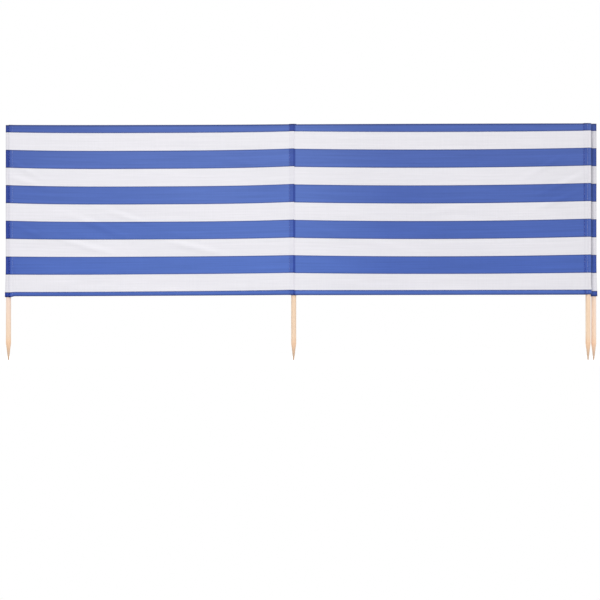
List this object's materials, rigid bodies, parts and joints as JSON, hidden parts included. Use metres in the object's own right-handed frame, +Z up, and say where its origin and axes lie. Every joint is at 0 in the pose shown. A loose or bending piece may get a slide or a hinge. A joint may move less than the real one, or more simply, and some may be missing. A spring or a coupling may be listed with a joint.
{
  "type": "beach windbreak",
  "caption": "Folding beach windbreak: striped cloth bays sewn in sleeves round pointed wooden poles that are pushed into sand.",
  "frame": {"origin": "centre of the flat tip of the left pole", "axes": "+Z up along the poles, +X along the front towards the right end, -Y out of the front"},
  "size_m": [2.7724, 0.0618, 1.1115],
  "materials": {
    "wood": "satin",
    "cloth": "matte"
  },
  "bodies": {
    "front_left_bay": {"pole_left": "wood", "pole_front_middle": "wood", "sleeve_left": "cloth", "sleeve_front_middle": "cloth", "cloth_front_left": "cloth", "top_hem_front_left": "cloth", "bottom_hem_front_left": "cloth"},
    "front_right_bay": {"pole_front_right": "wood", "sleeve_front_right": "cloth", "cloth_front_right": "cloth", "top_hem_front_right": "cloth", "bottom_hem_front_right": "cloth"},
    "rear_left_bay": {"pole_rear_middle": "wood", "sleeve_rear_middle": "cloth", "cloth_rear_left": "cloth", "top_hem_rear_left": "cloth", "bottom_hem_rear_left": "cloth"},
    "rear_right_bay": {"pole_rear_right": "wood", "sleeve_rear_right": "cloth", "cloth_rear_right": "cloth", "top_hem_rear_right": "cloth", "bottom_hem_rear_right": "cloth"}
  },
  "joints": [
    {"name": "left_fold", "type": "hinge", "parent": "front_left_bay", "child": "rear_left_bay", "pos_m": [0, 0, 0.7], "axis": [0, 0, 1], "range_deg": [0, 180]},
    {"name": "front_right_fold", "type": "hinge", "parent": "front_left_bay", "child": "front_right_bay", "pos_m": [1.34, -0.0309, 0.7], "axis": [0, 0, -1], "range_deg": [0, 90]},
    {"name": "rear_right_fold", "type": "hinge", "parent": "rear_left_bay", "child": "rear_right_bay", "pos_m": [1.34, 0.0309, 0.7], "axis": [0, 0, 1], "range_deg": [0, 90]}
  ]
}
